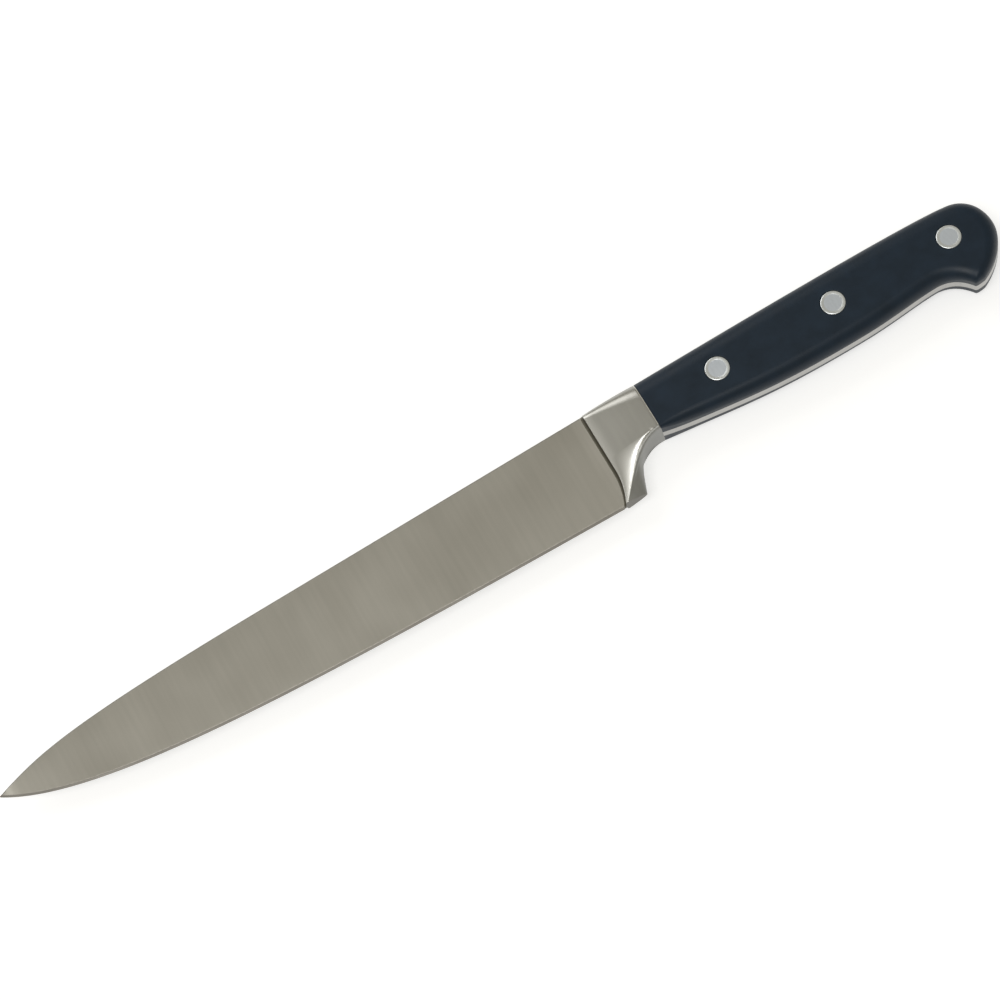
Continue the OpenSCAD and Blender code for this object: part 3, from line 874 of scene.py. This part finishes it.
def scaleRing(angle):              # the outline, turned in over the rounded edge
    deepest = halfWidth - halfTang - handle["edgeLand"]
    turn = 1 - math.cos(angle)
    rise = 1 - math.sin(angle)
    return [Vector((p[0] + p[2] * turn, p[1] + p[3] * turn, halfWidth - min(p[4], deepest) * rise))
            for p in outline]


def makeScale():
    ringSteps = 14
    rings = [[Vector((p[0], p[1], halfTang)) for p in outline]]
    rings += [scaleRing(math.radians(90 * i / ringSteps)) for i in range(ringSteps + 1)]
    for ring in rings:
        ring.append(ring[0])
    piece = addSkin("scale", rings)
    mergeDoubles(piece)
    innerSide, flatSide = [place((0, 0, height)).z for height in (halfTang, halfWidth)]
    for level in (innerSide, flatSide):
        fillHole(piece, lambda ends, uses: uses == 1 and all(abs(p.z - level) < near * mm for p in ends))
    mergeDoubles(piece)

    headHole = rivet["headDiameter"] / 2 + rivet["headGap"]
    drillPast = 1
    drill(piece, rivetPlaces, 2 * headHole, halfWidth - rivet["headThick"], halfWidth + drillPast)
    drill(piece, rivetPlaces, rivet["shank"] + 2 * rivet["shankGap"], 0, halfWidth)
    selectEdges(piece, lambda ends, uses: all(
        abs(p.z - flatSide) < near * mm and any(
            abs((p - place((*at, halfWidth))).length - headHole * mm) < 2 * near * mm for at in rivetPlaces)
        for p in ends))
    bpy.ops.mesh.bevel(offset=rivet["holeEase"] * mm, segments=2, profile=0.5)
    bpy.ops.object.mode_set(mode="OBJECT")
    return piece


leftScale = makeScale()
leftScale.name = "left_handle_scale"
rightScale = mirrorCopy(leftScale)
rightScale.name = "right_handle_scale"
mergeDoubles(rightScale)
for piece in (leftScale, rightScale):
    setMaterials(piece, [scalePlastic])
    smooth(piece, degrees=35)
    applyModifier(piece, "WEIGHTED_NORMAL", keep_sharp=True, weight=100)
print("scales made,", len(leftScale.data.polygons), "faces each")

# the tang is drilled too, and the rivets go in
drill(forging, rivetPlaces, rivet["shank"] + 2 * rivet["tangGap"], -2 * halfTang, 2 * halfTang)
smooth(forging, degrees=30)
forging.name = "forged_blade"
rivets = {}
for which, at in zip(rivetNames, rivetPlaces):
    rivets[which + "_rivet_tube"] = makeRivet(which + "_tube_rivet", at, True)
    rivets[which + "_rivet_pin"] = makeRivet(which + "_pin_rivet", at, False)
print("rivets made,", len(rivets))

pieces = [forging, leftScale, rightScale, *rivets.values()]
for piece in pieces:
    keepInside(piece)

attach(forging, "root")
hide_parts("blade")
for piece, node in ((leftScale, "left_scale"), (rightScale, "right_scale")):
    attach(piece, "root")
    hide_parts(node)
for node, piece in rivets.items():
    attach(piece, "root")
    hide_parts(node)
print("pieces in place,", len(pieces))


# Floor, light and camera

ground = {
    "size": 4,                 # m
    "gap": 0.05,               # mm below the knife
    "tone": "#C8C8C8",
    "roughness": 0.9,
    "glow": 0.6,               # for the camera and for reflections alone
}


def whiteGround():
    # matt white floor, which the camera and the steel see as plain white with the object's shadow
    material, tree, shader = newMaterial("whiteGround")
    shader.inputs["Base Color"].default_value = linear(ground["tone"])
    shader.inputs["Roughness"].default_value = ground["roughness"]
    shader.inputs["Specular IOR Level"].default_value = 0
    path = addNode(tree, "ShaderNodeLightPath")
    seen = addNode(tree, "ShaderNodeMath", {"operation": "MAXIMUM"}, {
        0: path.outputs["Is Camera Ray"], 1: path.outputs["Is Glossy Ray"]})
    seen = addNode(tree, "ShaderNodeMath", {"operation": "MAXIMUM"}, {
        0: seen.outputs[0], 1: path.outputs["Is Transmission Ray"]})
    glow = addNode(tree, "ShaderNodeMath", {"operation": "MULTIPLY"}, {
        0: seen.outputs[0], 1: ground["glow"]})
    shader.inputs["Emission Color"].default_value = (1, 1, 1, 1)
    tree.links.new(glow.outputs[0], shader.inputs["Emission Strength"])
    return material


deselectAll()
bpy.ops.mesh.primitive_plane_add(size=ground["size"], location=(0, 0, -ground["gap"] * mm))
floor = bpy.context.object
floor.name = "floor"
floor.data.materials.append(whiteGround())

# Soft boxes that shine at the knife: which way they are, how far and how large in m, and how bright
softBoxes = {
    "overheadBox": ((-0.25, -0.2, 1), 1.3, (0.7, 0.6), 3.8),
    "backBox": ((-0.29, 0.78, 0.62), 1.45, (1.27, 0.8), 1.9),
}
for name, (direction, distance, size, radiance) in softBoxes.items():
    deselectAll()
    way = Vector(direction).normalized()
    bpy.ops.object.light_add(type="AREA", location=way * distance)
    lamp = bpy.context.object
    lamp.name = name
    lamp.data.shape = "RECTANGLE"
    lamp.data.size, lamp.data.size_y = size
    lamp.data.energy = radiance * math.pi * size[0] * size[1]
    along = way.cross(Vector((1, 0, 0))).normalized()
    facing = Matrix((along.cross(way), along, way)).transposed().to_4x4()
    facing.translation = way * distance
    lamp.matrix_world = facing

room = {
    "tone": "#FFFBED",         # warm and pale
    "strength": 0.45,
}
world = bpy.data.worlds.new("studio")
bpy.context.scene.world = world
world.use_nodes = True
background = world.node_tree.nodes["Background"]
background.inputs["Color"].default_value = linear(room["tone"])
background.inputs["Strength"].default_value = room["strength"]

cameraLook = {
    "tilt": 20,                # degrees from straight above, towards the cutting edge
    "roll": 30.87,             # degrees that the knife climbs across the picture
    "distance": 0.8,           # m
    "span": 0.2894,            # m of the knife's plane that the picture is wide
    "aim": (168.3, -8.6),      # mm behind the point, and below the spine
    "sensor": 36,
}
tilt, roll = math.radians(cameraLook["tilt"]), math.radians(cameraLook["roll"])
backWay = Vector((0, -math.sin(tilt), math.cos(tilt)))
upAcross = Vector((0, math.cos(tilt), math.sin(tilt)))
rightWay = math.cos(roll) * Vector((1, 0, 0)) - math.sin(roll) * upAcross
upWay = math.sin(roll) * Vector((1, 0, 0)) + math.cos(roll) * upAcross
turned = Matrix((rightWay, upWay, backWay)).transposed().to_4x4()
aim = place((tipX + cameraLook["aim"][0], cameraLook["aim"][1], 0))
turned.translation = aim + backWay * cameraLook["distance"]
deselectAll()
bpy.ops.object.camera_add()
camera = bpy.context.object
camera.name = "camera"
camera.data.sensor_width = cameraLook["sensor"]
camera.data.lens = cameraLook["sensor"] * cameraLook["distance"] / cameraLook["span"]
camera.matrix_world = turned
bpy.context.scene.camera = camera
bpy.context.scene.view_settings.view_transform = "Standard"
print("studio ready")
